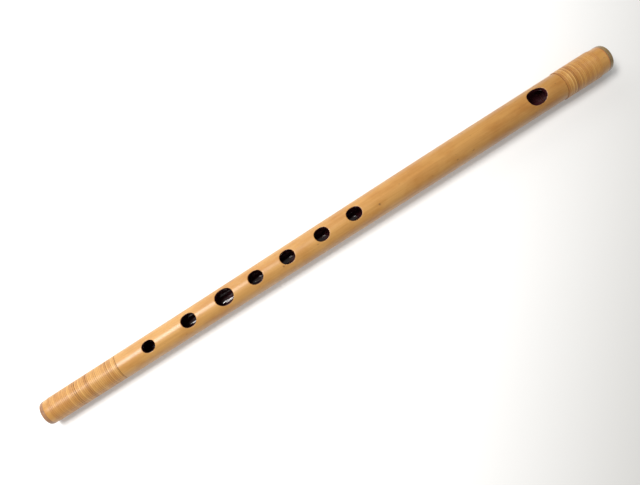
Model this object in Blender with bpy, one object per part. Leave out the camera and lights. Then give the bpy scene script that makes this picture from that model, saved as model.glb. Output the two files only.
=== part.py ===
# A shinobue: a transverse flute made from one bamboo, with a mouth hole, seven finger holes,
# rattan bindings round both ends and red lacquer inside.
#
# The flute lies along X with its head at +X and its holes up, on the plane Z = 0. The origin is on
# that plane, under the middle of the flute. Sizes below are in millimetres, and a place along the
# flute is its distance from the foot end.

import bpy
import bmesh
from math import cos, pi, radians, sin

MM = 0.001

# The bamboo
LENGTH = 400.0
FOOT_RADIUS = 7.72              # outside of the bamboo beside the foot binding
HEAD_RADIUS = 8.93              # outside of the bamboo from the finger holes up to the head
SWELL = (40.0, 300.0)           # the stretch over which the bamboo grows from one to the other
HEAD_RISE = 0.35                # the head binding stands proud, so it lifts the tube by this much
RISE = (200.0, 350.0)           # the stretch over which the tube leaves the ground
BORE_FOOT_RADIUS = 5.45
BORE_HEAD_RADIUS = 6.50
COLLAR_FOOT_RADIUS = 7.30       # the bare bamboo between the foot binding and the foot rim
COLLAR_HEAD_RADIUS = 8.80

# The bindings: a flat rattan strip, crowned along its middle, in a seat shaved into the bamboo
FOOT_SEAT = (5.3, 49.9)
HEAD_SEAT = (364.7, 391.3)
FOOT_BINDING_RADIUS = (7.50, 7.68)      # over the strip, at the foot end and at the body end
HEAD_BINDING_RADIUS = (9.33, 9.33)
STRIP_WIDTH = 1.95
STRIP_THICKNESS = 0.50
STRIP_SHOULDER = 0.34                   # thickness at the strip's edges
STRIP_CROWN_WIDTH = 0.9                 # the flat along the top of the crown
FOOT_LOOPS = 17.5
HEAD_LOOPS = 10
STRIP_START_ANGLE = -52.5               # each strip starts low on the far side, out of sight

# The holes: distance from the foot, length along the flute, width across it, and how far the
# centre is turned from the top of the tube, in degrees towards +Y
HOLES = {
    "seven": (70.5, 7.9, 6.8, -3.0),
    "six": (97.5, 9.3, 8.0, -1.0),
    "five": (121.9, 11.4, 9.7, 1.5),
    "four": (143.3, 9.3, 7.9, -1.0),
    "three": (165.3, 9.4, 8.3, -0.5),
    "two": (189.5, 9.5, 8.2, 1.5),
    "one": (212.3, 9.8, 8.1, 1.0),
    "mouth": (345.4, 12.9, 10.4, 1.5),
}
HOLE_SQUARENESS = 2.2           # 2 is an ellipse, and more fills out its corners

# Lacquer, rims and stopper
LACQUER_THICKNESS = 0.30
LACQUER_SINK = 0.20             # how far the lacquer in a hole stops below the bamboo's surface
LACQUER_END = 354.3
FOOT_RIM_WIDTH = 2.4
HEAD_RIM_WIDTH = 3.4
RIM_THICKNESS = 0.35
STOPPER_FACE = 354.6
STOPPER_WAX_LENGTH = 5.0
HEAD_PLUG_LENGTH = 6.7
HEAD_PLUG_SINK = 0.3            # the plug's face lies this far inside the head rim

SEAM = 0.30                     # the gap left between pieces that touch on the real flute
SIDES = 24                      # sides of every round section, with one flat facing down
HOLE_SIDES = 24
CUT_PAST = 3.0                  # how far a cutter runs past what it cuts


def lerp(a, b, t):
    return a + (b - a) * t


def ease(x, stretch):
    # 0 before the stretch, 1 after it, and smooth in between
    t = (x - stretch[0]) / (stretch[1] - stretch[0])
    t = min(max(t, 0.0), 1.0)
    return t * t * (3.0 - 2.0 * t)


def bamboo_radius(x):
    return lerp(FOOT_RADIUS, HEAD_RADIUS, ease(x, SWELL))


def bore_radius(x):
    return lerp(BORE_FOOT_RADIUS, BORE_HEAD_RADIUS, x / LENGTH)


def axis_height(x):
    # the underside of the bamboo is straight, so its middle climbs as the bamboo swells
    return bamboo_radius(x) + HEAD_RISE * ease(x, RISE)


def binding_radius(x, seat, radii):
    return lerp(radii[0], radii[1], (x - seat[0]) / (seat[1] - seat[0]))


def on_section(x, radius, angle):
    # a corner of the many-sided section whose flats lie at the radius
    corner = radius / cos(pi / SIDES)
    y = corner * cos(angle)
    z = axis_height(x) + corner * sin(angle)
    return ((x - LENGTH / 2) * MM, y * MM, z * MM)


def ring(bm, x, radius):
    corners = []
    for k in range(SIDES):
        angle = (k + 0.5) * 2 * pi / SIDES
        corners.append(bm.verts.new(on_section(x, radius, angle)))
    return corners


def bridge(bm, first, second):
    count = len(first)
    for k in range(count):
        nxt = (k + 1) % count
        bm.faces.new((first[k], first[nxt], second[nxt], second[k]))


def turned_ring(bm, profile):
    # a hollow turned form: a closed outline of (x, radius) points taken round the axis
    rings = [ring(bm, x, radius) for x, radius in profile]
    for k in range(len(rings)):
        bridge(bm, rings[k], rings[(k + 1) % len(rings)])


def turned_rod(bm, profile):
    # a solid turned form: an open outline of (x, radius) points with a flat at each end
    rings = [ring(bm, x, radius) for x, radius in profile]
    for k in range(len(rings) - 1):
        bridge(bm, rings[k], rings[k + 1])
    bm.faces.new(rings[0])
    bm.faces.new(rings[-1])


def stations(start, end, step):
    count = max(1, round((end - start) / step))
    return [lerp(start, end, k / count) for k in range(count + 1)]


def oval(length, width):
    points = []
    for k in range(HOLE_SIDES):
        c = cos(2 * pi * k / HOLE_SIDES)
        s = sin(2 * pi * k / HOLE_SIDES)
        along = abs(c) ** (2 / HOLE_SQUARENESS) * (1 if c > 0 else -1)
        across = abs(s) ** (2 / HOLE_SQUARENESS) * (1 if s > 0 else -1)
        points.append((along * length / 2, across * width / 2))
    return points


def hole_prism(bm, hole, inset, top):
    # an oval prism from the flute's axis up to the height top above it, standing on the hole
    x, length, width, turn = hole
    turn = radians(turn)
    outline = oval(length - 2 * inset, width - 2 * inset)
    rings = []
    for height in (0.0, top):
        corners = []
        for along, across in outline:
            y = across * cos(turn) + height * sin(turn)
            z = axis_height(x) - across * sin(turn) + height * cos(turn)
            corners.append(bm.verts.new(((x + along - LENGTH / 2) * MM, y * MM, z * MM)))
        rings.append(corners)
    bridge(bm, rings[0], rings[1])
    bm.faces.new(rings[0])
    bm.faces.new(rings[1])


def new_object(name, bm, material=None, smooth_angle=40.0):
    bmesh.ops.recalc_face_normals(bm, faces=bm.faces)
    mesh = bpy.data.meshes.new(name)
    bm.to_mesh(mesh)
    bm.free()
    obj = bpy.data.objects.new(name, mesh)
    bpy.context.scene.collection.objects.link(obj)
    if material:
        mesh.materials.append(material)
        mesh.shade_smooth()
        mesh.set_sharp_from_angle(angle=radians(smooth_angle))
        obj.parent = flute
    else:
        obj.hide_render = True
        obj.display_type = "WIRE"
    return obj


def boolean(obj, operation, other):
    modifier = obj.modifiers.new(operation.lower() + "_" + other.name, "BOOLEAN")
    modifier.operation = operation
    modifier.object = other
    modifier.solver = "EXACT"


def finish(name, color, roughness, coat=0.0):
    material = bpy.data.materials.new(name)
    material.use_nodes = True
    shader = material.node_tree.nodes["Principled BSDF"]
    shader.inputs["Base Color"].default_value = (*color, 1.0)
    shader.inputs["Roughness"].default_value = roughness
    shader.inputs["Metallic"].default_value = 0.0
    shader.inputs["Coat Weight"].default_value = coat
    material.diffuse_color = (*color, 1.0)
    return material


def hole_cutter():
    bm = bmesh.new()
    for hole in HOLES.values():
        hole_prism(bm, hole, 0.0, bamboo_radius(hole[0]) + CUT_PAST)
    return new_object("hole_cutter", bm)


def seat_radius(x, seat, radii):
    return binding_radius(x, seat, radii) - STRIP_THICKNESS - SEAM


def bamboo_tube(material):
    # outside, from the foot end to the head end: rim spigot, collar, seat, body, seat, collar, spigot
    rim_step = RIM_THICKNESS + SEAM
    foot_collar = FOOT_RIM_WIDTH + SEAM
    head_collar = LENGTH - HEAD_RIM_WIDTH - SEAM
    foot_spigot = COLLAR_FOOT_RADIUS - rim_step
    head_spigot = COLLAR_HEAD_RADIUS - rim_step
    outside = [
        (rim_step, foot_spigot - 0.55),
        (rim_step + 0.4, foot_spigot - 0.15),
        (rim_step + 0.9, foot_spigot),
        (foot_collar, foot_spigot),
        (foot_collar, COLLAR_FOOT_RADIUS),
        (FOOT_SEAT[0], COLLAR_FOOT_RADIUS),
        (FOOT_SEAT[0], seat_radius(FOOT_SEAT[0], FOOT_SEAT, FOOT_BINDING_RADIUS)),
        (FOOT_SEAT[1], seat_radius(FOOT_SEAT[1], FOOT_SEAT, FOOT_BINDING_RADIUS)),
    ]
    for x in stations(FOOT_SEAT[1], HEAD_SEAT[0], 22.0):
        outside.append((x, bamboo_radius(x)))
    outside += [
        (HEAD_SEAT[0], seat_radius(HEAD_SEAT[0], HEAD_SEAT, HEAD_BINDING_RADIUS)),
        (HEAD_SEAT[1], seat_radius(HEAD_SEAT[1], HEAD_SEAT, HEAD_BINDING_RADIUS)),
        (HEAD_SEAT[1], COLLAR_HEAD_RADIUS),
        (head_collar, COLLAR_HEAD_RADIUS),
        (head_collar, head_spigot),
        (LENGTH - rim_step - 1.0, head_spigot),
        (LENGTH - rim_step - 0.4, head_spigot - 0.2),
        (LENGTH - rim_step, head_spigot - 0.6),
    ]
    inside = [(x, bore_radius(x)) for x in stations(LENGTH - rim_step, rim_step, 45.0)]
    bm = bmesh.new()
    turned_ring(bm, outside + inside)
    return new_object("bamboo_tube", bm, material)


def bore_lacquer(material):
    # a thin lining with a short sleeve up the wall of each hole
    start = RIM_THICKNESS
    bm = bmesh.new()
    turned_rod(bm, [(x, bore_radius(x) - SEAM) for x in stations(start, LACQUER_END, 45.0)])
    lining = new_object("bore_lacquer", bm, material)

    bm = bmesh.new()
    for hole in HOLES.values():
        hole_prism(bm, hole, SEAM, bamboo_radius(hole[0]) + CUT_PAST)
    sleeves = new_object("sleeve_guide", bm)

    bm = bmesh.new()
    first = FOOT_SEAT[1]
    last = HEAD_SEAT[0]
    turned_rod(bm, [(x, bamboo_radius(x) - LACQUER_SINK) for x in stations(first, last, 22.0)])
    skin = new_object("sleeve_height_guide", bm)

    bm = bmesh.new()
    wall = SEAM + LACQUER_THICKNESS
    turned_rod(bm, [(x, bore_radius(x) - wall) for x in stations(-CUT_PAST, LENGTH, 45.0)])
    bore = new_object("bore_cutter", bm)

    bm = bmesh.new()
    for hole in HOLES.values():
        hole_prism(bm, hole, wall, bamboo_radius(hole[0]) + 2 * CUT_PAST)
    openings = new_object("sleeve_cutter", bm)

    boolean(sleeves, "INTERSECT", skin)
    boolean(lining, "UNION", sleeves)
    boolean(lining, "DIFFERENCE", bore)
    boolean(lining, "DIFFERENCE", openings)
    return lining


def strip_section():
    # the strip's cross-section: flat below, crowned above, as (across, up) from its underside
    edge = STRIP_WIDTH / 2
    crown = STRIP_CROWN_WIDTH / 2
    return [
        (-edge, 0.0),
        (edge, 0.0),
        (edge, STRIP_SHOULDER),
        (crown, STRIP_THICKNESS),
        (-crown, STRIP_THICKNESS),
        (-edge, STRIP_SHOULDER),
    ]


def least_gap(sections):
    # between each place on the strip and the same place one turn further on
    least = None
    for first, second in zip(sections, sections[SIDES:]):
        for one in first:
            for other in second:
                gap = (one.co - other.co).length
                if least is None or gap < least:
                    least = gap
    return least


def binding(name, seat, radii, loops, material):
    # one unbroken strip, wound from one shoulder of its seat to the other
    first = seat[0] + SEAM + STRIP_WIDTH / 2
    last = seat[1] - SEAM - STRIP_WIDTH / 2
    steps = round(loops * SIDES)
    bm = bmesh.new()
    sections = []
    for step in range(steps + 1):
        x = lerp(first, last, step / steps)
        angle = radians(STRIP_START_ANGLE) + step * 2 * pi / SIDES
        underside = binding_radius(x, seat, radii) - STRIP_THICKNESS
        corners = []
        for across, up in strip_section():
            corner = bm.verts.new(on_section(x + across, underside + up, angle))
            corner.co.z = max(corner.co.z, 0.0)     # pressed flat where the flute lies on it
            corners.append(corner)
        sections.append(corners)
    for one, other in zip(sections, sections[1:]):
        bridge(bm, one, other)
    bm.faces.new(sections[0])
    bm.faces.new(sections[-1])
    gap = least_gap(sections) / MM
    print(f"{name}: {loops} loops of one strip, least gap between turns {gap:.2f} mm")
    return new_object(name, bm, material, smooth_angle=30.0)


def rim(name, end, width, radius, bore, inward, material):
    # lacquer over the rounded end of the tube; inward is +1 at the foot and -1 at the head
    t = RIM_THICKNESS
    outline = [
        (width, radius),
        (width * 0.45, radius - 0.08),
        (0.45, radius - 0.35),
        (0.0, radius - 0.85),
        (0.0, bore),
        (t, bore),
        (t, radius - t - 0.65),
        (t + 0.45, radius - t - 0.15),
        (t + 0.95, radius - t),
        (width, radius - t),
    ]
    bm = bmesh.new()
    turned_ring(bm, [(end + inward * x, r) for x, r in outline])
    return new_object(name, bm, material)


def stopper(wax, wood):
    # the wax wall beside the mouth hole, the wooden packing behind it and the plug at the head end
    bore = bore_radius(STOPPER_FACE) - SEAM
    core_start = STOPPER_FACE + STOPPER_WAX_LENGTH + SEAM
    plug_face = LENGTH - HEAD_PLUG_SINK
    plug_start = plug_face - HEAD_PLUG_LENGTH
    core_end = plug_start - SEAM

    bm = bmesh.new()
    wax_end = STOPPER_FACE + STOPPER_WAX_LENGTH
    turned_rod(bm, [(STOPPER_FACE, bore - 0.5), (STOPPER_FACE + 0.5, bore), (wax_end, bore)])
    new_object("stopper_wax", bm, wax)

    bm = bmesh.new()
    turned_rod(bm, [
        (core_start, bore - 0.4),
        (core_start + 0.4, bore),
        (core_end - 0.4, bore),
        (core_end, bore - 0.4),
    ])
    new_object("stopper_core", bm, wood)

    bm = bmesh.new()
    turned_rod(bm, [
        (plug_start, bore - 0.4),
        (plug_start + 0.4, bore),
        (plug_face - 0.4, bore),
        (plug_face, bore - 0.4),
    ])
    new_object("head_plug", bm, wood)


for old in list(bpy.data.objects):
    bpy.data.objects.remove(old, do_unlink=True)

flute = bpy.data.objects.new("shinobue", None)
bpy.context.scene.collection.objects.link(flute)

bamboo = finish("bamboo", (0.68, 0.37, 0.14), 0.38)
rattan = finish("rattan", (0.64, 0.35, 0.13), 0.45)
red_lacquer = finish("bore_lacquer", (0.045, 0.008, 0.010), 0.15, coat=0.5)
foot_lacquer = finish("foot_rim_lacquer", (0.20, 0.075, 0.032), 0.35, coat=0.3)
head_lacquer = finish("head_rim_lacquer", (0.17, 0.105, 0.045), 0.35, coat=0.3)
wax = finish("stopper_wax", (0.50, 0.32, 0.10), 0.55)
wood = finish("plug_wood", (0.42, 0.25, 0.12), 0.60)

tube = bamboo_tube(bamboo)
boolean(tube, "DIFFERENCE", hole_cutter())
bore_lacquer(red_lacquer)
binding("foot_binding", FOOT_SEAT, FOOT_BINDING_RADIUS, FOOT_LOOPS, rattan)
binding("head_binding", HEAD_SEAT, HEAD_BINDING_RADIUS, HEAD_LOOPS, rattan)
rim("foot_rim", 0.0, FOOT_RIM_WIDTH, COLLAR_FOOT_RADIUS, BORE_FOOT_RADIUS, 1, foot_lacquer)
rim("head_rim", LENGTH, HEAD_RIM_WIDTH, COLLAR_HEAD_RADIUS, BORE_HEAD_RADIUS, -1, head_lacquer)
stopper(wax, wood)
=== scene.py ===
from math import asin, atan2, cos, pi, radians, sin

import bpy
from mathutils import Matrix, Vector


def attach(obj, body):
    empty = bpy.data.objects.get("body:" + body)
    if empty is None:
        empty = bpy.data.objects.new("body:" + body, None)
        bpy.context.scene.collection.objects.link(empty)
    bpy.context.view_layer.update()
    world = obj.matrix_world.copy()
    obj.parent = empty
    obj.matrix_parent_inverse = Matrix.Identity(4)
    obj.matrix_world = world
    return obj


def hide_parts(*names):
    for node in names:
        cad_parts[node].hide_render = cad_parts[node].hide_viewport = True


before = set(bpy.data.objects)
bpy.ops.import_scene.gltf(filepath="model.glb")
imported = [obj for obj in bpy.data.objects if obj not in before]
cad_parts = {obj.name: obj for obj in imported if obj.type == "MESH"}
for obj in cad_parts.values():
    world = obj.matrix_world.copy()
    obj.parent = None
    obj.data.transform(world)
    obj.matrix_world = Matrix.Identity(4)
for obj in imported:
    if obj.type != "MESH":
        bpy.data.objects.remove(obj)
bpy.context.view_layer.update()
print("frame loaded")

mm = 0.001

flute = {
    "length": 400.0,
    "footRadius": 7.72,
    "headRadius": 8.93,
    "swell": (40.0, 300.0),      # where the bamboo grows from one to the other
    "headRise": 0.35,            # the head winding lifts the tube off the table
    "rise": (200.0, 350.0),
    "boreFoot": 5.45,
    "boreHead": 6.50,
    "collarFoot": 7.30,
    "collarHead": 8.80,
}

# distance from the foot, length, width, and turn from the top in degrees
holes = {
    "seven": (70.5, 7.9, 6.8, -3.0),
    "six": (97.5, 9.3, 8.0, -1.0),
    "five": (121.9, 11.4, 9.7, 1.5),
    "four": (143.3, 9.3, 7.9, -1.0),
    "three": (165.3, 9.4, 8.3, -0.5),
    "two": (189.5, 9.5, 8.2, 1.5),
    "one": (212.3, 9.8, 8.1, 1.0),
    "mouth": (345.4, 12.9, 10.4, 1.5),
}
holeSquareness = 2.2


def mix(a, b, t):
    return a + (b - a) * t


def ease(x, stretch):
    t = min(max((x - stretch[0]) / (stretch[1] - stretch[0]), 0.0), 1.0)
    return t * t * (3.0 - 2.0 * t)


def bambooRadius(x):
    return mix(flute["footRadius"], flute["headRadius"], ease(x, flute["swell"]))


def boreRadius(x):
    return mix(flute["boreFoot"], flute["boreHead"], x / flute["length"])


def axisHeight(x):
    return bambooRadius(x) + flute["headRise"] * ease(x, flute["rise"])


def fromMiddle(x):
    # the part's own X, in metres, at this distance from the foot end
    return (x - flute["length"] / 2) * mm


def onTube(x, radius, theta):
    # theta is measured from the top of the tube towards the far side
    y = radius * sin(theta)
    z = axisHeight(x) + radius * cos(theta)
    return (fromMiddle(x), y * mm, max(z, 0.0) * mm)


def newMaterial(name):
    material = bpy.data.materials.new(name)
    material.use_nodes = True
    tree = material.node_tree
    return material, tree, tree.nodes["Principled BSDF"]


def node(tree, kind, **settings):
    made = tree.nodes.new(kind)
    for key, value in settings.items():
        setattr(made, key, value)
    return made


def stretchedNoise(tree, stretch, detail=5.0, rough=0.6, source=None):
    # noise with its own fineness along, across and up, in the part's own space unless a source is given
    if source is None:
        source = node(tree, "ShaderNodeTexCoord").outputs["Object"]
    mapping = node(tree, "ShaderNodeMapping")
    mapping.inputs["Scale"].default_value = stretch
    noise = node(tree, "ShaderNodeTexNoise")
    noise.inputs["Scale"].default_value = 1.0
    noise.inputs["Detail"].default_value = detail
    noise.inputs["Roughness"].default_value = rough
    tree.links.new(source, mapping.inputs["Vector"])
    tree.links.new(mapping.outputs["Vector"], noise.inputs["Vector"])
    return noise.outputs["Fac"]


def ramp(tree, source, stops):
    made = node(tree, "ShaderNodeValToRGB")
    elements = made.color_ramp.elements
    while len(elements) < len(stops):
        elements.new(0.5)
    for element, (place, color) in zip(elements, stops):
        element.position = place
        element.color = (*color, 1.0)
    tree.links.new(source, made.inputs["Fac"])
    return made.outputs["Color"]


def blendColors(tree, kind, amount, first, second):
    made = node(tree, "ShaderNodeMix", data_type="RGBA", blend_type=kind)
    for value, socket in ((amount, made.inputs[0]), (first, made.inputs[6]), (second, made.inputs[7])):
        if isinstance(value, bpy.types.NodeSocket):
            tree.links.new(value, socket)
        elif isinstance(value, tuple):
            socket.default_value = (*value, 1.0)
        else:
            socket.default_value = value
    return made.outputs[2]


def remap(tree, source, low, high, newLow, newHigh):
    made = node(tree, "ShaderNodeMapRange")
    for key, value in (("From Min", low), ("From Max", high), ("To Min", newLow), ("To Max", newHigh)):
        made.inputs[key].default_value = value
    tree.links.new(source, made.inputs["Value"])
    return made.outputs["Result"]


def attribute(tree, name):
    return node(tree, "ShaderNodeAttribute", attribute_name=name).outputs["Fac"]


def coatOn(shader, weight, roughness):
    shader.inputs["Coat Weight"].default_value = weight
    shader.inputs["Coat Roughness"].default_value = roughness


def bumpOn(tree, shader, height, strength, depth):
    # the depth is in millimetres
    bump = node(tree, "ShaderNodeBump")
    bump.inputs["Strength"].default_value = strength
    bump.inputs["Distance"].default_value = depth * mm
    tree.links.new(height, bump.inputs["Height"])
    tree.links.new(bump.outputs["Normal"], shader.inputs["Normal"])


bambooLook = {
    "foot": (0.62, 0.335, 0.100),        # skin beside the foot winding
    "middle": (0.59, 0.312, 0.090),      # between the finger holes and the mouth hole
    "head": (0.47, 0.240, 0.064),        # skin at the mouth hole, browner and darker; the darkening is partly painted shade of the light falling off towards the head
    "collar": (0.60, 0.325, 0.094),      # beyond the head winding
    "fibre": (0.85, 0.80, 0.72),         # the darkest fibres, as a share of the skin
    "cloud": (0.85, 0.73, 0.57),
    "holeStain": (0.13, 0.038, 0.022),   # lacquer that has soaked into the edge of each hole
    "seat": (0.16, 0.075, 0.030),        # the shaved seats under the windings, darkened: partly glue and dust, partly painted shade in the gaps between turns
    "speck": (0.16, 0.07, 0.03),
    "colorRun": (50.0, 400.0),           # from the first colour to the last, in millimetres from the foot end
    "cloudSize": (48.0, 120.0, 120.0),   # noise cells to the metre: along, across and up
    "streakSize": (9.0, 620.0, 620.0),
    "fibreSize": (30.0, 2600.0, 2600.0),
    "fleckSize": (260.0, 900.0, 900.0),
    "streakAmount": 0.55,
    "fibreAmount": 0.5,
    "fleckRange": (0.755, 0.79),         # the noise above which a fleck starts, and is full
    "fleckAmount": 0.7,
    "spots": ((160.6, -27.0, 0.75), (228.0, -24.0, 0.95)),     # from the foot end, turn in degrees, size
    "spotCore": 0.2,                     # the full part of a spot, as a share of its size
    "spotAmount": 0.8,
    "roughness": (0.30, 0.40),
    "specular": 0.38,
    "coat": (0.34, 0.36),                # weight and roughness of the polish
    "bump": (0.35, 0.03),
}


def bambooSkinMaterial():
    look = bambooLook
    material, tree, shader = newMaterial("smokedBamboo")
    place = node(tree, "ShaderNodeTexCoord").outputs["Object"]
    along = node(tree, "ShaderNodeSeparateXYZ")
    tree.links.new(place, along.inputs[0])
    # from the foot's colour to the head's: the bamboo browns along its length, and the darkening towards the
    # head is partly painted shade of the light falling off there
    first, last = look["colorRun"]
    run = remap(tree, along.outputs["X"], fromMiddle(first), fromMiddle(last), 0.0, 1.0)
    skin = ramp(tree, run, [(0.0, look["foot"]), (0.5, look["middle"]), (0.88, look["head"]),
                            (1.0, look["collar"])])
    clouds = stretchedNoise(tree, look["cloudSize"], 4.0, 0.6, place)
    cloudTint = ramp(tree, clouds, [(0.30, look["cloud"]), (0.56, (1.0, 1.0, 1.0))])
    skin = blendColors(tree, "MULTIPLY", 1.0, skin, cloudTint)
    streaks = stretchedNoise(tree, look["streakSize"], 4.0, 0.55, place)
    streakTint = ramp(tree, streaks, [(0.34, look["fibre"]), (0.58, (1.0, 1.0, 1.0))])
    skin = blendColors(tree, "MULTIPLY", look["streakAmount"], skin, streakTint)
    fibres = stretchedNoise(tree, look["fibreSize"], 6.0, 0.65, place)
    fibreTint = ramp(tree, fibres, [(0.38, look["fibre"]), (0.60, (1.0, 1.0, 1.0))])
    skin = blendColors(tree, "MULTIPLY", look["fibreAmount"], skin, fibreTint)
    flecks = stretchedNoise(tree, look["fleckSize"], 1.0, 0.4, place)
    flecks = remap(tree, flecks, *look["fleckRange"], 0.0, look["fleckAmount"])
    skin = blendColors(tree, "MIX", flecks, skin, look["speck"])
    # two marks of this bamboo, each a small spot at its place on the skin
    for x, turn, size in look["spots"]:
        spot = onTube(x, bambooRadius(x), radians(turn))
        apart = node(tree, "ShaderNodeVectorMath", operation="DISTANCE")
        tree.links.new(place, apart.inputs[0])
        apart.inputs[1].default_value = spot
        core = look["spotCore"] * size
        amount = remap(tree, apart.outputs["Value"], core * mm, size * mm, look["spotAmount"], 0.0)
        skin = blendColors(tree, "MIX", amount, skin, look["speck"])
    skin = blendColors(tree, "MIX", attribute(tree, "holeEdge"), skin, look["holeStain"])
    # the seats are darkened: partly glue and dust, partly painted shade in the gaps between the turns and at
    # the winding's ends
    skin = blendColors(tree, "MIX", attribute(tree, "seat"), skin, look["seat"])
    tree.links.new(skin, shader.inputs["Base Color"])
    low, high = look["roughness"]
    tree.links.new(remap(tree, streaks, 0.3, 0.7, high, low), shader.inputs["Roughness"])
    shader.inputs["Specular IOR Level"].default_value = look["specular"]
    coatOn(shader, *look["coat"])
    bumpOn(tree, shader, fibres, *look["bump"])
    return material


rattanLook = {
    # the strip's colours from dark to pale
    "turns": [(0.10, (0.50, 0.235, 0.066)), (0.42, (0.66, 0.345, 0.104)),
              (0.62, (0.74, 0.42, 0.138)), (0.92, (0.86, 0.56, 0.225))],
    "patina": (0.82, 0.70, 0.56),        # where hands have darkened it
    "edge": (0.64, 0.52, 0.40),
    "fibre": (0.78, 0.68, 0.55),
    "shadeSize": 0.42,                   # noise cells to the turn
    "chosenShade": 0.42,                 # how far the shade listed for a turn moves its colour; on the foot some of it is painted highlight
    "patinaSize": (150.0, 110.0, 110.0),
    "patinaAmount": 0.45,
    "fibreSize": (14.0, 3.4, 0.0),       # to the turn, and across the strip
    "fibreAmount": 0.6,
    "edgeDarkRange": (0.74, 1.0),             # where the darker edge starts and is full, out from the middle line
    "roughness": (0.36, 0.50),
    "coat": (0.30, 0.32),
    "bump": (0.5, 0.04),
}


def rattanMaterial(name, tint):
    look = rattanLook
    material, tree, shader = newMaterial(name)
    turn = attribute(tree, "turn")
    across = attribute(tree, "across")
    onStrip = node(tree, "ShaderNodeCombineXYZ")
    tree.links.new(turn, onStrip.inputs["X"])
    tree.links.new(across, onStrip.inputs["Y"])
    shades = stretchedNoise(tree, (look["shadeSize"], 0.0, 0.0), 3.0, 0.7, onStrip.outputs[0])
    shades = remap(tree, shades, 0.20, 0.80, 0.0, 1.0)
    # each turn's listed shade, on the foot winding partly a painted highlight
    chosen = node(tree, "ShaderNodeMath", operation="MULTIPLY_ADD")
    tree.links.new(attribute(tree, "shade"), chosen.inputs[0])
    chosen.inputs[1].default_value = look["chosenShade"]
    tree.links.new(shades, chosen.inputs[2])
    color = ramp(tree, chosen.outputs[0], look["turns"])
    color = blendColors(tree, "MULTIPLY", 1.0, color, tint)
    patina = stretchedNoise(tree, look["patinaSize"], 4.0, 0.6)
    patinaTint = ramp(tree, patina, [(0.36, look["patina"]), (0.54, (1.0, 1.0, 1.0))])
    color = blendColors(tree, "MULTIPLY", look["patinaAmount"], color, patinaTint)
    fibres = stretchedNoise(tree, look["fibreSize"], 4.0, 0.6, onStrip.outputs[0])
    fibreTint = ramp(tree, fibres, [(0.36, look["fibre"]), (0.62, (1.0, 1.0, 1.0))])
    color = blendColors(tree, "MULTIPLY", look["fibreAmount"], color, fibreTint)
    # darker towards the strip's edges, where the turns meet
    edge = node(tree, "ShaderNodeMath", operation="ABSOLUTE")
    tree.links.new(across, edge.inputs[0])
    edgeAmount = remap(tree, edge.outputs[0], *look["edgeDarkRange"], 0.0, 1.0)
    darkEdgeColor = blendColors(tree, "MULTIPLY", 1.0, color, look["edge"])
    color = blendColors(tree, "MIX", edgeAmount, color, darkEdgeColor)
    tree.links.new(color, shader.inputs["Base Color"])
    low, high = look["roughness"]
    tree.links.new(remap(tree, fibres, 0.3, 0.7, high, low), shader.inputs["Roughness"])
    coatOn(shader, *look["coat"])
    bumpOn(tree, shader, fibres, *look["bump"])
    return material


brushedLacquer = {
    "toneSize": (180.0, 420.0, 420.0),
    "dustSize": (900.0, 900.0, 900.0),
    "dustSpread": (0.7, 1.3),            # the roughness runs between these shares of its value
    "lineFade": (0.15, 0.25),            # how softly a painted line starts and ends, in millimetres
    "coat": (0.4, 0.08),
    "bump": (0.05, 0.005),
}


def lacquerMaterial(name, dark, light, roughness, line=None):
    # a slow change of tone, and dust in the gloss
    look = brushedLacquer
    material, tree, shader = newMaterial(name)
    place = node(tree, "ShaderNodeTexCoord").outputs["Object"]
    tone = stretchedNoise(tree, look["toneSize"], 4.0, 0.6, place)
    color = ramp(tree, tone, [(0.3, dark), (0.7, light)])
    if line:
        start, end, lineColor = line
        along = node(tree, "ShaderNodeSeparateXYZ")
        tree.links.new(place, along.inputs[0])
        before, after = look["lineFade"]
        into = remap(tree, along.outputs["X"], fromMiddle(start - before), fromMiddle(start), 0.0, 1.0)
        out = remap(tree, along.outputs["X"], fromMiddle(end), fromMiddle(end + after), 1.0, 0.0)
        amount = node(tree, "ShaderNodeMath", operation="MULTIPLY")
        tree.links.new(into, amount.inputs[0])
        tree.links.new(out, amount.inputs[1])
        color = blendColors(tree, "MIX", amount.outputs[0], color, lineColor)
    tree.links.new(color, shader.inputs["Base Color"])
    dust = stretchedNoise(tree, look["dustSize"], 3.0, 0.6, place)
    least, most = look["dustSpread"]
    gloss = remap(tree, dust, 0.3, 0.7, roughness * least, roughness * most)
    tree.links.new(gloss, shader.inputs["Roughness"])
    coatOn(shader, *look["coat"])
    bumpOn(tree, shader, tone, *look["bump"])
    return material


turnedWood = {
    "plug": ((0.46, 0.28, 0.14), (0.28, 0.15, 0.07)),          # pale and dark wood
    "packing": ((0.50, 0.33, 0.17), (0.33, 0.20, 0.10)),
    "ringScale": 260.0,
    "ringDistortion": 3.0,
    "poreSize": (200.0, 2200.0, 2200.0),
    "pore": (0.55, 0.45, 0.35),
    "poreAmount": 0.7,
    "roughness": (0.5, 0.7),
    "bump": (0.4, 0.04),
}


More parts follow.
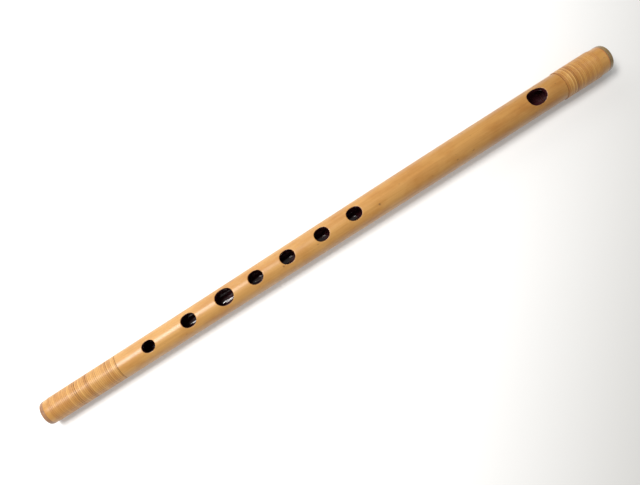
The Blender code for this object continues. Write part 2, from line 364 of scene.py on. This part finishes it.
def turnedWoodMaterial(name, pale, dark):
    # end grain, with growth rings and pores
    look = turnedWood
    material, tree, shader = newMaterial(name)
    place = node(tree, "ShaderNodeTexCoord").outputs["Object"]
    rings = node(tree, "ShaderNodeTexWave", wave_type="RINGS", rings_direction="X")
    rings.inputs["Scale"].default_value = look["ringScale"]
    rings.inputs["Distortion"].default_value = look["ringDistortion"]
    rings.inputs["Detail"].default_value = 3.0
    tree.links.new(place, rings.inputs["Vector"])
    color = ramp(tree, rings.outputs["Fac"], [(0.1, dark), (0.8, pale)])
    pores = stretchedNoise(tree, look["poreSize"], 3.0, 0.6, place)
    poreTint = ramp(tree, pores, [(0.36, look["pore"]), (0.5, (1.0, 1.0, 1.0))])
    color = blendColors(tree, "MULTIPLY", look["poreAmount"], color, poreTint)
    tree.links.new(color, shader.inputs["Base Color"])
    low, high = look["roughness"]
    tree.links.new(remap(tree, pores, 0.3, 0.7, high, low), shader.inputs["Roughness"])
    bumpOn(tree, shader, pores, *look["bump"])
    return material


waxLook = {
    "dark": (0.42, 0.25, 0.07),
    "light": (0.58, 0.38, 0.13),
    "cloudSize": (300.0, 300.0, 300.0),
    "lacquered": (3.0, 3.4),             # from its face, where the lacquer on it thins out and ends
    "roughness": (0.45, 0.6),
    "bump": (0.5, 0.1),
}


def waxMaterial():
    look = waxLook
    material, tree, shader = newMaterial("pouredWax")
    cloud = stretchedNoise(tree, look["cloudSize"], 3.0, 0.5)
    color = ramp(tree, cloud, [(0.3, look["dark"]), (0.7, look["light"])])
    # the end in the bore is brushed with the same lacquer as the bore
    parts = node(tree, "ShaderNodeSeparateXYZ")
    tree.links.new(node(tree, "ShaderNodeTexCoord").outputs["Object"], parts.inputs[0])
    thin, gone = (fromMiddle(stopperSizes["face"] + depth) for depth in look["lacquered"])
    bare = remap(tree, parts.outputs["X"], thin, gone, 0.0, 1.0)
    color = blendColors(tree, "MIX", bare, lacquer["light"], color)
    tree.links.new(color, shader.inputs["Base Color"])
    low, high = look["roughness"]
    tree.links.new(remap(tree, cloud, 0.3, 0.7, high, low), shader.inputs["Roughness"])
    bumpOn(tree, shader, cloud, *look["bump"])
    return material


def newPiece(name, points, faces, material, nodeName, values=None, sharpAngle=35.0):
    mesh = bpy.data.meshes.new(name)
    mesh.from_pydata(points, [], faces)
    mesh.validate()
    for key, numbers in (values or {}).items():
        made = mesh.attributes.new(key, "FLOAT", "POINT")
        made.data.foreach_set("value", numbers)
    mesh.materials.append(material)
    mesh.shade_smooth()
    mesh.set_sharp_from_angle(angle=radians(sharpAngle))
    piece = bpy.data.objects.new(name, mesh)
    bpy.context.scene.collection.objects.link(piece)
    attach(piece, "root")
    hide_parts(nodeName)
    print(f"{name}: {len(points)} points, {len(faces)} faces")


class Sheet:
    # points and faces of one piece as it grows, with one number per point for each named value
    def __init__(self, *valueNames):
        self.points = []
        self.faces = []
        self.values = {name: [] for name in valueNames}

    def add(self, point, **given):
        self.points.append(point)
        for name, numbers in self.values.items():
            numbers.append(given.get(name, 0.0))
        return len(self.points) - 1

    def bridge(self, first, second, inward=False):
        count = len(first)
        for k in range(count):
            nxt = (k + 1) % count
            quad = (first[k], first[nxt], second[nxt], second[k])
            self.faces.append(quad[::-1] if inward else quad)


def ring(sheet, x, radius, columns, **given):
    return [sheet.add(onTube(x, radius, 2 * pi * k / columns), **given) for k in range(columns)]


def onOval(length, width, phi):
    along = abs(cos(phi)) ** (2 / holeSquareness) * (1 if cos(phi) > 0 else -1)
    across = abs(sin(phi)) ** (2 / holeSquareness) * (1 if sin(phi) > 0 else -1)
    return along * length / 2, across * width / 2


def holeAngle(hole, across, radius):
    return radians(hole[3]) + asin(max(-1.0, min(1.0, across / radius)))


holeMesh = {
    "outerColumns": 128,
    "innerColumns": 96,
    "edge": 0.38,            # radius of the rounded edge of each hole
    "rows": 22,              # cells along the outer patch of each hole
    "room": 1.5,             # from the hole's edge to the end of its patch
    "coarse": 4.0,           # length of the cells away from holes
    "innerRoom": 11.0,       # the same in the bore, in degrees across
    "liner": 0.4,            # the lacquer's face, this far in from the bore's wall, needs the widest patch
    "fan": (0.72, 0.46, 0.22, 0.0),      # rings from the patch's border in to the hole
    "edgeSteps": (20, 40, 60, 78, 90),   # degrees round the hole's rounded edge
    "wallSteps": (0.35, 0.7),            # down the wall under it, as shares of its height
}


def patchOf(hole, outer):
    # the block of grid cells that a hole's rings of points stand in: x range, rows, half the columns
    x, length, width, _ = hole
    edge, room = holeMesh["edge"], holeMesh["room"]
    outerStep = 360 / holeMesh["outerColumns"]
    innerStep = 360 / holeMesh["innerColumns"]
    outerHalf = asin((width / 2 + edge + room) / bambooRadius(x)) * 180 / pi
    innerHalf = asin(width / 2 / (boreRadius(x) - holeMesh["liner"])) * 180 / pi + holeMesh["innerRoom"]
    outerCells = 2 * int(outerHalf / outerStep + 1)
    innerCells = 2 * int(innerHalf / innerStep + 1)
    if outer:
        half = length / 2 + edge + room
        return x - half, x + half, holeMesh["rows"], outerCells // 2
    half = length / 2 + room
    return x - half, x + half, holeMesh["rows"] + outerCells - innerCells, innerCells // 2


def drilledTube(sheet, start, end, radiusAt, outer, rimOfHole, **given):
    # a tube surface with an opening for each hole; rimOfHole gives (x, theta) on the opening for an angle.
    # Returns the first ring, the last ring and the ring of points round each opening.
    columns = holeMesh["outerColumns"] if outer else holeMesh["innerColumns"]
    patches = {name: patchOf(hole, outer) for name, hole in holes.items()}
    rows = [start]
    for name in sorted(patches, key=lambda n: patches[n][0]):
        first, last, count, _ = patches[name]
        gap = first - rows[-1]
        steps = max(1, round(gap / holeMesh["coarse"]))
        before = rows[-1]
        rows += [mix(before, first, k / steps) for k in range(1, steps + 1)]
        rows += [mix(first, last, k / count) for k in range(1, count + 1)]
    steps = max(1, round((end - rows[-1]) / holeMesh["coarse"]))
    before = rows[-1]
    rows += [mix(before, end, k / steps) for k in range(1, steps + 1)]

    inPatch = {}
    for name, (first, last, count, half) in patches.items():
        begin = min(range(len(rows)), key=lambda i: abs(rows[i] - first))
        inPatch[name] = (begin, begin + count, half)
    grid = {}

    def isInside(i, k):
        for begin, finish, half in inPatch.values():
            away = min(k, columns - k)
            if begin < i < finish and away < half:
                return True
        return False

    for i, x in enumerate(rows):
        for k in range(columns):
            if not isInside(i, k):
                grid[i, k] = sheet.add(onTube(x, radiusAt(x), 2 * pi * k / columns), **given)
    for i in range(len(rows) - 1):
        for k in range(columns):
            nxt = (k + 1) % columns
            corners = [(i, k), (i, nxt), (i + 1, nxt), (i + 1, k)]
            mid = k + 0.5 if k + 0.5 < columns / 2 else k + 0.5 - columns
            if any(begin <= i < finish and abs(mid) < half for begin, finish, half in inPatch.values()):
                continue
            quad = tuple(grid[c] for c in corners)
            sheet.faces.append(quad if outer else quad[::-1])

    openings = {}
    for name, (begin, finish, half) in inPatch.items():
        hole = holes[name]
        border = [(i, half) for i in range(begin, finish)]
        border += [(finish, k) for k in range(half, -half, -1)]
        border += [(i, -half) for i in range(finish, begin, -1)]
        border += [(begin, k) for k in range(-half, half)]
        middle = (rows[begin] + rows[finish]) / 2
        halfX = (rows[finish] - rows[begin]) / 2
        halfTheta = 2 * pi * half / columns
        outerLoop = [grid[i, k % columns] for i, k in border]
        places = []
        for i, k in border:
            theta = 2 * pi * k / columns
            phi = atan2(theta / halfTheta, (rows[i] - middle) / halfX)
            places.append((rows[i], theta, phi))
        for t in holeMesh["fan"]:
            loop = []
            for x, theta, phi in places:
                rimX, rimTheta = rimOfHole(hole, phi)
                px = mix(rimX, x, t)
                loop.append(sheet.add(onTube(px, radiusAt(px), mix(rimTheta, theta, t)), **given))
            sheet.bridge(outerLoop, loop, inward=outer)
            outerLoop = loop
        openings[name] = (outerLoop, [phi for _, _, phi in places])
    firstRing = [grid[0, k] for k in range(columns)]
    lastRing = [grid[len(rows) - 1, k] for k in range(columns)]
    return firstRing, lastRing, openings


def wallLoop(sheet, hole, angles, inset, radiusAt, **given):
    # points round a hole, this far inside its outline, each at the height radiusAt gives for its x
    x, length, width, _ = hole
    loop = []
    for phi in angles:
        along, across = onOval(length - 2 * inset, width - 2 * inset, phi)
        radius = radiusAt(x + along)
        loop.append(sheet.add(onTube(x + along, radius, holeAngle(hole, across, radius)), **given))
    return loop


seats = {
    "foot": (5.3, 49.9, 7.50, 7.68),       # start, end, and the winding's radius at each
    "head": (364.7, 391.3, 9.33, 9.33),
    "depth": 0.62,                         # under the top of the winding
    "shoulder": 0.12,                      # the eased edge of the body beside a seat
    "collarEase": 0.05,                    # the eased edge of a collar beside a seat
    "halfSeatDark": 0.6,                      # the seat's dark colour at those edges, as a share; it is partly painted shade
}
rims = {
    "footWidth": 2.4,
    "headWidth": 3.4,
    "thickness": 0.30,
    "seam": 0.03,
    "gap": 0.05,                           # between a rim and the collar behind it
    "gapEase": (0.07, 0.02),               # the collar's eased edge there, along and in
    # the rounded end of the bamboo under each rim: along from its end, and in from the collar
    "footRound": ((0.0, 1.35), (0.1, 0.95), (0.4, 0.62)),
    "headRound": ((0.4, 0.66), (0.1, 0.98), (0.0, 1.4)),
    "straight": (1.0, 1.1),                # where it runs straight, at the foot and at the head
}


def bambooBody(material):
    sheet = Sheet("holeEdge", "seat")
    columns = holeMesh["outerColumns"]
    edge = holeMesh["edge"]
    length = flute["length"]
    under = rims["thickness"] + rims["seam"]

    def rimOfHole(hole, phi):
        along, across = onOval(hole[1] + 2 * edge, hole[2] + 2 * edge, phi)
        x = hole[0] + along
        return x, holeAngle(hole, across, bambooRadius(x))

    footEnd, headStart = seats["foot"][1], seats["head"][0]
    first, last, openings = drilledTube(sheet, footEnd, headStart, bambooRadius, True, rimOfHole)

    # from the foot end up to the body, and from the body to the head end
    collar, gap, easeAlong, easeIn = flute["collarFoot"], rims["gap"], *rims["gapEase"]
    seatStart, seatEnd, firstRadius, lastRadius = seats["foot"]
    depth, shoulder, collarEase = seats["depth"], seats["shoulder"], seats["collarEase"]
    seatDark, width = seats["halfSeatDark"], rims["footWidth"]
    footWork = [(under + along, collar - into, 0) for along, into in rims["footRound"]]
    footWork += [
        (under + rims["straight"][0], collar - under, 0), (width + gap, collar - under, 0),
        (width + gap, collar - easeIn, 0), (width + gap + easeAlong, collar, 0),
        (seatStart - collarEase, collar, 0), (seatStart, collar - collarEase, seatDark),
        (seatStart, firstRadius - depth, 1), (seatEnd, lastRadius - depth, 1),
        (seatEnd, bambooRadius(seatEnd) - shoulder, seatDark),
    ]
    collar, width = flute["collarHead"], rims["headWidth"]
    seatStart, seatEnd, firstRadius, lastRadius = seats["head"]
    headWork = [
        (seatStart, bambooRadius(seatStart) - shoulder, seatDark),
        (seatStart, firstRadius - depth, 1), (seatEnd, lastRadius - depth, 1),
        (seatEnd, collar - collarEase, seatDark), (seatEnd + collarEase, collar, 0),
        (length - width - gap - easeAlong, collar, 0), (length - width - gap, collar - easeIn, 0),
        (length - width - gap, collar - under, 0), (length - under - rims["straight"][1], collar - under, 0),
    ]
    headWork += [(length - under - along, collar - into, 0) for along, into in rims["headRound"]]
    footRings = [ring(sheet, x, radius, columns, seat=seat) for x, radius, seat in footWork]
    headRings = [ring(sheet, x, radius, columns, seat=seat) for x, radius, seat in headWork]
    outside = footRings + [first]
    for one, other in zip(outside, outside[1:]):
        sheet.bridge(one, other)
    outside = [last] + headRings
    for one, other in zip(outside, outside[1:]):
        sheet.bridge(one, other)

    # the bore, with an opening under each hole
    def boreRim(hole, phi):
        along, across = onOval(hole[1], hole[2], phi)
        x = hole[0] + along
        return x, holeAngle(hole, across, boreRadius(x))

    innerFirst, innerLast, innerOpenings = drilledTube(
        sheet, under, length - under, boreRadius, False, boreRim, holeEdge=1.0)
    for ends, inner, flip in ((footRings[0], innerFirst, True), (headRings[-1], innerLast, False)):
        joinRings(sheet, ends, inner, flip)

    for name, hole in holes.items():
        loop, angles = openings[name]
        for step in holeMesh["edgeSteps"]:
            beta = radians(step)
            outset = edge * (1 - sin(beta))
            drop = edge * (1 - cos(beta))
            nxt = wallLoop(sheet, hole, angles, -outset, lambda x, d=drop: bambooRadius(x) - d,
                           holeEdge=(step / 90) ** 2)
            sheet.bridge(loop, nxt, inward=True)
            loop = nxt
        innerLoop, _ = innerOpenings[name]
        for t in holeMesh["wallSteps"]:
            nxt = wallLoop(sheet, hole, angles, 0.0,
                           lambda x, t=t: mix(bambooRadius(x) - edge, boreRadius(x), t), holeEdge=1.0)
            sheet.bridge(loop, nxt, inward=True)
            loop = nxt
        sheet.bridge(loop, innerLoop, inward=True)
    newPiece("bambooBody", sheet.points, sheet.faces, material, "bamboo_tube", sheet.values)


def joinRings(sheet, outer, inner, flip):
    # an end face between rings that have 4 points to 3
    outerCount, innerCount = len(outer), len(inner)
    i = k = 0
    while i < outerCount or k < innerCount:
        a, b = outer[i % outerCount], inner[k % innerCount]
        if k >= innerCount or (i < outerCount and (i + 1) / outerCount <= (k + 1) / innerCount):
            face = (a, outer[(i + 1) % outerCount], b)
            i += 1
        else:
            face = (a, inner[(k + 1) % innerCount], b)
            k += 1
        sheet.faces.append(face[::-1] if flip else face)


lacquer = {
    "start": 0.35,
    "end": 354.5,
    "boreGap": 0.04,           # between the bamboo and the back of the coat
    "boreThickness": 0.30,
    "wallGap": 0.02,
    "wallThickness": 0.10,
    "wallRings": (0.3, 0.65, 1.0),         # up the wall of each hole, as shares of its height
    "edgeCoat": ((65, 0.09), (42, 0.06)),  # degrees round the hole's edge, and the coat's thickness there
    "dark": (0.030, 0.007, 0.010),
    "light": (0.066, 0.015, 0.019),
    "roughness": 0.13,
}


def boreLacquer(material):
    sheet = Sheet()
    edge = holeMesh["edge"]
    backGap, thickness = lacquer["boreGap"], lacquer["boreThickness"]
    wallBack = lacquer["wallGap"]
    wallFace = wallBack + lacquer["wallThickness"]

    def backRadius(x):
        return boreRadius(x) - backGap

    def faceRadius(x):
        return boreRadius(x) - backGap - thickness

    def rimAt(inset, radiusAt):
        def rimOfHole(hole, phi):
            along, across = onOval(hole[1] - 2 * inset, hole[2] - 2 * inset, phi)
            x = hole[0] + along
            return x, holeAngle(hole, across, radiusAt(x))
        return rimOfHole

    start, end = lacquer["start"], lacquer["end"]
    backFirst, backLast, backOpenings = drilledTube(
        sheet, start, end, backRadius, False, rimAt(wallBack, backRadius))
    count = len(sheet.faces)
    # the back of the coat faces outwards
    sheet.faces[:count] = [face[::-1] for face in sheet.faces]
    faceFirst, faceLast, faceOpenings = drilledTube(
        sheet, start, end, faceRadius, False, rimAt(wallFace, faceRadius))
    sheet.bridge(faceFirst, backFirst)
    sheet.bridge(backLast, faceLast)
    for name, hole in holes.items():
        back, angles = backOpenings[name]
        face, _ = faceOpenings[name]
        for t in lacquer["wallRings"]:
            for side in ("back", "face"):
                inset = wallBack if side == "back" else wallFace
                foot = backRadius if side == "back" else faceRadius
                loop = wallLoop(sheet, hole, angles, inset,
                                lambda x, t=t, f=foot: mix(f(x), bambooRadius(x) - edge, t))
                if side == "back":
                    sheet.bridge(back, loop)
                    back = loop
                else:
                    sheet.bridge(face, loop, inward=True)
                    face = loop
        # over the lower half of the rounded edge, thinning out to nothing
        for step, coat in lacquer["edgeCoat"]:
            beta = radians(step)
            outset = edge * (1 - sin(beta))
            drop = edge * (1 - cos(beta))
            for side, lift in (("back", wallBack), ("face", wallBack + coat)):
                loop = wallLoop(sheet, hole, angles, lift * sin(beta) - outset,
                                lambda x, d=drop, l=lift, b=beta: bambooRadius(x) - d + l * cos(b))
                if side == "back":
                    sheet.bridge(back, loop)
                    back = loop
                else:
                    sheet.bridge(face, loop, inward=True)
                    face = loop
        sheet.bridge(back, face)
    newPiece("boreLacquer", sheet.points, sheet.faces, material, "bore_lacquer")


# shades: turns of paler (above 0) or darker rattan, on the foot partly a painted highlight; wideGaps: after
# these turns the next one stands off
footWinding = {
    "piece": "footWinding",
    "node": "foot_binding",
    "seat": "foot",
    "shoulder": (0.06, 0.30),      # gaps left at the two ends of the seat
    "turns": 43,
    "wideGaps": {17: 0.34, 24: 0.22, 30: 0.16, 37: 0.24},
    "shades": {
        3: -0.15, 9: -0.2, 14: 0.2, 16: -0.2, 17: -0.45, 18: 0.25, 19: -0.35, 20: 0.15, 21: -0.2,
        # turns 26 to 33 are paler where the highlight lies across the winding: painted highlight
        24: -0.4, 26: 0.4, 27: 0.1, 28: 0.3, 29: 0.2, 30: 0.3, 31: 0.3, 32: 0.4, 33: 0.3,
        35: -0.15, 36: 0.3, 37: -0.35, 38: 0.35, 39: -0.15, 41: 0.3, 42: 0.4,
    },
    "tint": (0.90, 0.85, 0.73),
}
headWinding = {
    "piece": "headWinding",
    "node": "head_binding",
    "seat": "head",
    "shoulder": (0.12, 0.06),
    "turns": 26,
    "wideGaps": {2: 0.10, 7: 0.22, 10: 0.10, 13: 0.06},
    "shades": {
        0: -0.5, 1: -0.3, 2: 0.4, 3: -0.3, 4: 0.8, 5: -0.2, 6: 0.8, 7: -0.8, 8: -0.6, 9: -0.3, 10: 0.6,
        11: -0.3, 12: 0.5, 13: -0.2, 22: 0.2, 23: 0.3, 24: 0.3, 25: 0.4,
    },
    # darker than the foot winding's tint, partly painted shade of the light falling off towards the head
    "tint": (0.80, 0.74, 0.58),
}
strip = {
    "gap": 0.030,              # between turns
    "thickness": 0.40,
    "pointsRound": 72,
    "startAngle": 142.5,       # low on the far side, measured from the top
    "leastWidth": 0.10,        # of the pointed ends
    "under": 0.03,             # how far the top stays under the seat's radius
    "waver": 0.025,            # how much the strip rises and sinks along its length
    # the section, from one edge to the other: across the strip, and up from its underside
    "section": [(-1.0, 0.0), (-1.0, 0.76), (-0.88, 0.92), (-0.5, 0.98), (0.0, 1.0),
                (0.5, 0.98), (0.88, 0.92), (1.0, 0.76), (1.0, 0.0)],
}


def winding(look, material):
    sheet = Sheet("turn", "across", "shade")
    start, end, radiusStart, radiusEnd = seats[look["seat"]]
    start, end = start + look["shoulder"][0], end - look["shoulder"][1]
    turns = look["turns"]
    extra = look["wideGaps"]
    pitch = (end - start - sum(extra.values())) / turns
    # where the left edge of each turn starts, one value for each whole turn
    edges = [start - pitch]
    for k in range(turns + 1):
        edges.append(edges[-1] + pitch + extra.get(k, 0.0))
    steps = (turns + 1) * strip["pointsRound"]
    loops = []
    for step in range(steps + 1):
        turn = step / strip["pointsRound"]
        whole = min(int(turn), turns)
        left = mix(edges[whole], edges[whole + 1], turn - whole)
        right = left + pitch - strip["gap"]
        # a long pointed taper fills the wedge beside each shoulder
        left = min(max(left, start), end - strip["leastWidth"])
        right = max(min(right, end), start + strip["leastWidth"])
        theta = radians(strip["startAngle"]) - 2 * pi * turn
        shade = look["shades"].get(whole, 0.0)
        lift = strip["waver"] * sin(turn * 2.1) * sin(turn * 0.73 + 1.0)
        middle, half = (left + right) / 2, (right - left) / 2
        loop = []
        for across, up in strip["section"]:
            x = middle + across * half
            top = mix(radiusStart, radiusEnd, (x - start) / (end - start)) - strip["under"] + lift
            radius = top - strip["thickness"] * (1 - up)
            loop.append(sheet.add(onTube(x, radius, theta), turn=turn, across=across, shade=shade))
        loops.append(loop)
    for one, other in zip(loops, loops[1:]):
        sheet.bridge(one, other)
    sheet.faces.append(tuple(loops[0]))
    sheet.faces.append(tuple(loops[-1][::-1]))
    newPiece(look["piece"], sheet.points, sheet.faces, material, look["node"],
             sheet.values, sharpAngle=50.0)


footRimLook = {"dark": (0.230, 0.108, 0.048), "light": (0.390, 0.195, 0.090), "roughness": 0.38, "line": None}
headRimLook = {
    "dark": (0.172, 0.113, 0.047),
    "light": (0.305, 0.204, 0.086),
    "roughness": 0.30,
    "line": (396.6, 396.85, (0.44, 0.150, 0.045)),     # the undercoat shows as a thin red line
}
rimShape = {
    "backEase": 0.06,            # the eased edge behind
    "lipLength": (0.8, 2.2),     # of the rounded lip: a share of the rim's width, and at most
    "lipHeight": 0.85,
    "lipSteps": 8,
    "mouth": ((0.0, 0.15), (0.04, 0.04), (0.15, 0.0)),         # the eased edge at the bore, along and out
    "inside": ((0.0, 1.38), (0.1, 0.97), (0.4, 0.64)),         # the back of the coat, over the bamboo's end
    "straight": 1.0,             # where the back of the coat runs straight
}
stopperSizes = {
    "face": 354.6,
    "waxLength": 5.0,
    "plugLength": 6.7,
    "plugSink": 0.3,
    "seam": 0.3,
    "chamfer": 0.4,
    # the poured face is a little hollow in the middle and rises to the wall
    "hollow": ((0.25, 0.0), (0.1, 0.6)),                       # depth, and share of the bore
    "wallRise": ((0.0, 0.5), (0.15, 0.2), (0.5, 0.0)),         # depth, and in from the bore
    # the plug's face: its rounded edge, as depth and in from the bore, and its flat middle, as a share of it
    "plugEdge": ((0.45, 0.0), (0.12, 0.12), (0.02, 0.5)),
    "plugFlat": 0.55,
}


def turned(name, profile, material, nodeName, columns=128):
    # a closed outline of (x, radius) points taken round the axis; a radius of 0 is a point on the axis
    sheet = Sheet()
    rings = []
    for x, radius in profile:
        if radius == 0:
            rings.append(sheet.add(onTube(x, 0.0, 0.0)))
        else:
            rings.append(ring(sheet, x, radius, columns))
    closed = not isinstance(rings[0], int)
    pairs = list(zip(rings, rings[1:] + rings[:1])) if closed else list(zip(rings, rings[1:]))
    for one, other in pairs:
        if isinstance(one, int):
            sheet.faces += [(one, other[(k + 1) % columns], other[k]) for k in range(columns)]
        elif isinstance(other, int):
            sheet.faces += [(one[k], one[(k + 1) % columns], other) for k in range(columns)]
        else:
            sheet.bridge(one, other)
    newPiece(name, sheet.points, sheet.faces, material, nodeName)


def rim(name, nodeName, end, inward, width, radius, bore, look, lacquerName):
    # a coat of lacquer over the bamboo's end, as its outline taken round the axis
    shape, thickness = rimShape, rims["thickness"]
    outline = [(width, radius - shape["backEase"]), (width - shape["backEase"], radius)]
    share, most = shape["lipLength"]
    lipLength, lipHeight = min(width * share, most), shape["lipHeight"]
    for step in range(1, shape["lipSteps"] + 1):
        beta = radians(90 * step / shape["lipSteps"])
        outline.append((lipLength * (1 - sin(beta)), radius - lipHeight * (1 - cos(beta))))
    outline += [(along, bore + out) for along, out in shape["mouth"]] + [(thickness, bore)]
    outline += [(thickness + along, radius - into) for along, into in shape["inside"]]
    outline += [(thickness + shape["straight"], radius - thickness), (width, radius - thickness)]
    profile = [(end + inward * x, r) for x, r in outline]
    if inward > 0:
        profile.reverse()
    material = lacquerMaterial(lacquerName, look["dark"], look["light"], look["roughness"], look["line"])
    turned(name, profile, material, nodeName)


def stopper(plugWood, packingWood, wax):
    face, seam, chamfer = stopperSizes["face"], stopperSizes["seam"], stopperSizes["chamfer"]
    bore = boreRadius(face) - seam
    waxEnd = face + stopperSizes["waxLength"]
    poured = [(face + depth, bore * share) for depth, share in stopperSizes["hollow"]]
    poured += [(face + depth, bore - into) for depth, into in stopperSizes["wallRise"]]
    poured += [(waxEnd, bore), (waxEnd, 0)]
    turned("stopperWax", poured, wax, "stopper_wax", columns=64)
    plugFace = flute["length"] - stopperSizes["plugSink"]
    plugStart = plugFace - stopperSizes["plugLength"]
    coreStart, coreEnd = waxEnd + seam, plugStart - seam
    turned("stopperCore", [
        (coreStart, 0), (coreStart, bore - chamfer), (coreStart + chamfer, bore),
        (coreEnd - chamfer, bore), (coreEnd, bore - chamfer), (coreEnd, 0),
    ], packingWood, "stopper_core", columns=64)
    edge = [(plugFace - depth, bore - into) for depth, into in stopperSizes["plugEdge"]]
    turned("headPlug", [
        (plugStart, 0), (plugStart, bore - chamfer), (plugStart + chamfer, bore), *edge,
        (plugFace, bore * stopperSizes["plugFlat"]), (plugFace, 0),
    ], plugWood, "head_plug", columns=96)


bambooBody(bambooSkinMaterial())
boreLacquer(lacquerMaterial("redLacquer", lacquer["dark"], lacquer["light"], lacquer["roughness"]))
winding(footWinding, rattanMaterial("rattanFoot", footWinding["tint"]))
winding(headWinding, rattanMaterial("rattanHead", headWinding["tint"]))
rim("footRim", "foot_rim", 0.0, 1, rims["footWidth"], flute["collarFoot"],
    flute["boreFoot"], footRimLook, "brownLacquer")
rim("headRim", "head_rim", flute["length"], -1, rims["headWidth"], flute["collarHead"],
    flute["boreHead"], headRimLook, "oliveLacquer")
stopper(turnedWoodMaterial("plugWood", *turnedWood["plug"]),
        turnedWoodMaterial("packingWood", *turnedWood["packing"]), waxMaterial())
print("flute built")

table = {
    "near": (0.80, 0.80, 0.80),
    "far": (0.50, 0.50, 0.49),          # painted shade: the table is painted grey towards the head's near side, where the light falls off
    "glow": 0.22,                        # what the camera adds, so that the paper shows as white
    "farGlow": 0.55,                     # as a share of it, where the painted shade is full
    "slant": -1.1,                       # the painted shade runs along X and this much of Y
    "paintedShade": (0.10, 0.31),                # where along that it starts and is full, in metres
    "grainSize": (900.0, 900.0, 900.0),
    "roughness": (0.85, 0.95),
    "specular": 0.1,
    "bump": (0.1, 0.02),
    "half": 1.6,
    "drop": 0.00005,                     # under the flute, so that the two don't touch
}


def tableTop():
    material, tree, shader = newMaterial("whitePaper")
    place = node(tree, "ShaderNodeTexCoord").outputs["Object"]
    grain = stretchedNoise(tree, table["grainSize"], 3.0, 0.5, place)
    parts = node(tree, "ShaderNodeSeparateXYZ")
    tree.links.new(place, parts.inputs[0])
    # painted shade: the paper is greyed towards the head's near side, standing in for the light falling off
    # there
    side = node(tree, "ShaderNodeMath", operation="MULTIPLY_ADD")
    tree.links.new(parts.outputs["Y"], side.inputs[0])
    side.inputs[1].default_value = table["slant"]
    tree.links.new(parts.outputs["X"], side.inputs[2])
    start, full = table["paintedShade"]
    paintedShade = remap(tree, side.outputs[0], start, full, 0.0, 1.0)
    color = blendColors(tree, "MIX", paintedShade, table["near"], table["far"])
    tree.links.new(color, shader.inputs["Base Color"])
    low, high = table["roughness"]
    tree.links.new(remap(tree, grain, 0.3, 0.7, high, low), shader.inputs["Roughness"])
    shader.inputs["Specular IOR Level"].default_value = table["specular"]
    bumpOn(tree, shader, grain, *table["bump"])
    path = node(tree, "ShaderNodeLightPath")
    seen = path.outputs["Is Camera Ray"]
    for other in ("Is Glossy Ray", "Is Transmission Ray"):
        either = node(tree, "ShaderNodeMath", operation="MAXIMUM")
        tree.links.new(seen, either.inputs[0])
        tree.links.new(path.outputs[other], either.inputs[1])
        seen = either.outputs[0]
    # the glow drops as well under the painted shade
    glow = remap(tree, paintedShade, 0.0, 1.0, table["glow"], table["glow"] * table["farGlow"])
    strength = node(tree, "ShaderNodeMath", operation="MULTIPLY")
    tree.links.new(seen, strength.inputs[0])
    tree.links.new(glow, strength.inputs[1])
    shader.inputs["Emission Color"].default_value = (1.0, 1.0, 1.0, 1.0)
    tree.links.new(strength.outputs[0], shader.inputs["Emission Strength"])
    half = table["half"]
    corners = [(-half, -half, 0.0), (half, -half, 0.0), (half, half, 0.0), (-half, half, 0.0)]
    mesh = bpy.data.meshes.new("tableTop")
    mesh.from_pydata(corners, [], [(0, 1, 2, 3)])
    mesh.materials.append(material)
    top = bpy.data.objects.new("tableTop", mesh)
    top.location.z = -table["drop"]
    bpy.context.scene.collection.objects.link(top)


lights = {
    # name: place in metres, aim, size, watts
    "softbox": ((-0.40, 0.27, 1.00), (0.0, 0.0, 0.0), (0.50, 0.26), 11.4),
    "window": ((-0.35, 1.15, 0.60), (0.0, 0.0, 0.0), (1.2, 0.7), 5.6),
    "ceilingLamp": ((-0.290, 0.180, 1.50), (-0.290, 0.180, 0.0), (0.15, 0.05), 2.0),
}
room = {
    "lampColor": (1.0, 0.985, 0.965),
    "wallColor": (1.0, 0.985, 0.95, 1.0),
    "strength": 0.30,
}


def lampsAndRoom():
    for name, (place, aim, size, watts) in lights.items():
        data = bpy.data.lights.new(name, "AREA")
        data.shape = "RECTANGLE"
        data.size, data.size_y = size
        data.energy = watts
        data.color = room["lampColor"]
        lamp = bpy.data.objects.new(name, data)
        lamp.location = place
        aimed = Vector(aim) - Vector(place)
        if aimed.xy.length > 0:          # a lamp that points straight down keeps its sides along the axes
            lamp.rotation_euler = aimed.to_track_quat("-Z", "Y").to_euler()
        bpy.context.scene.collection.objects.link(lamp)
    world = bpy.data.worlds.new("room")
    bpy.context.scene.world = world
    world.use_nodes = True
    background = world.node_tree.nodes["Background"]
    background.inputs["Color"].default_value = room["wallColor"]
    background.inputs["Strength"].default_value = room["strength"]


view = {
    "eye": (-0.0415, -0.0808, 0.3523),
    "aim": (-0.0134, -0.0016, 0.008),
    "roll": 13.54,               # degrees, turning the head end up
    "fieldOfView": 57.0,
}


def camera():
    data = bpy.data.cameras.new("overTheTable")
    data.sensor_fit = "HORIZONTAL"
    data.angle = radians(view["fieldOfView"])
    data.clip_start = 0.01
    eye, aim = Vector(view["eye"]), Vector(view["aim"])
    forward = (aim - eye).normalized()
    level = forward.cross(Vector((0, 0, 1))).normalized()
    down = forward.cross(level)
    roll = radians(view["roll"])
    right = level * cos(roll) + down * sin(roll)
    up = level * sin(roll) - down * cos(roll)
    turn = Matrix((right, up, -forward)).transposed()
    body = bpy.data.objects.new("overTheTable", data)
    body.matrix_world = Matrix.Translation(eye) @ turn.to_4x4()
    bpy.context.scene.collection.objects.link(body)
    bpy.context.scene.camera = body


tableTop()
lampsAndRoom()
camera()
bpy.context.scene.view_settings.view_transform = "Standard"
print("table, lights and camera ready")
